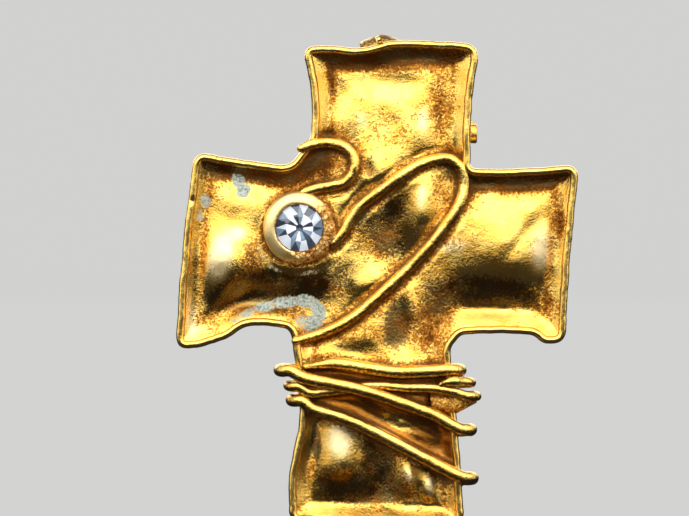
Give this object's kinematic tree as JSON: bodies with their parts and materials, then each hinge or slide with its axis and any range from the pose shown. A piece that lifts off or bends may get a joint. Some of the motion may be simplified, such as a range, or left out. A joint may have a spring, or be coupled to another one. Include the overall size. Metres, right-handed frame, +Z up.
{
  "type": "cross brooch-pendant",
  "caption": "Hammered gilt cross with a raised rim, a set round stone, laid and bound wires, a bail and a hinged pin with a turning catch on the back.",
  "frame": {"origin": "centre of the bail's round hole, behind the upper arm", "axes": "+Z up along the stem towards the top edge, +Y out of the back, the decorated front faces -Y, +X to the right seen from the front"},
  "size_m": [0.0536, 0.0135, 0.0657],
  "materials": {
    "hammered_gilt": "gilded, antiqued, hammered",
    "rim_gilt": "gilded, burnished edge",
    "setting_gilt": "gilded, pitted on one side",
    "wire_gilt": "gilded, burnished on top",
    "fitting_gilt": "gilded, smooth",
    "pin_steel": "thinly gilded wire",
    "stone_glass": "machine-cut, foiled behind"
  },
  "bodies": {
    "cross": {"cross_plate": "hammered_gilt", "rim_border": "rim_gilt", "stone_cup": "setting_gilt", "glass_stone": "stone_glass", "curl_wire": "wire_gilt", "loop_wire": "wire_gilt", "binding_wire_long": "wire_gilt", "binding_wire_short": "wire_gilt", "bail_barrel": "fitting_gilt", "hinge_base": "fitting_gilt", "hinge_rivet": "fitting_gilt", "catch_housing": "fitting_gilt"},
    "pin": {"pin_stem": "pin_steel"},
    "catch_lock": {"catch_roller": "fitting_gilt"}
  },
  "joints": [
    {"name": "pin_hinge", "type": "hinge", "parent": "cross", "child": "pin", "pos_m": [-0.007, -0.00215, -0.0093], "axis": [0, 0, 1], "range_deg": [0, 95]},
    {"name": "catch_turn", "type": "hinge", "parent": "cross", "child": "catch_lock", "pos_m": [0.01165, -0.00215, -0.0093], "axis": [-1, 0, 0], "range_deg": [0, 95]}
  ]
}
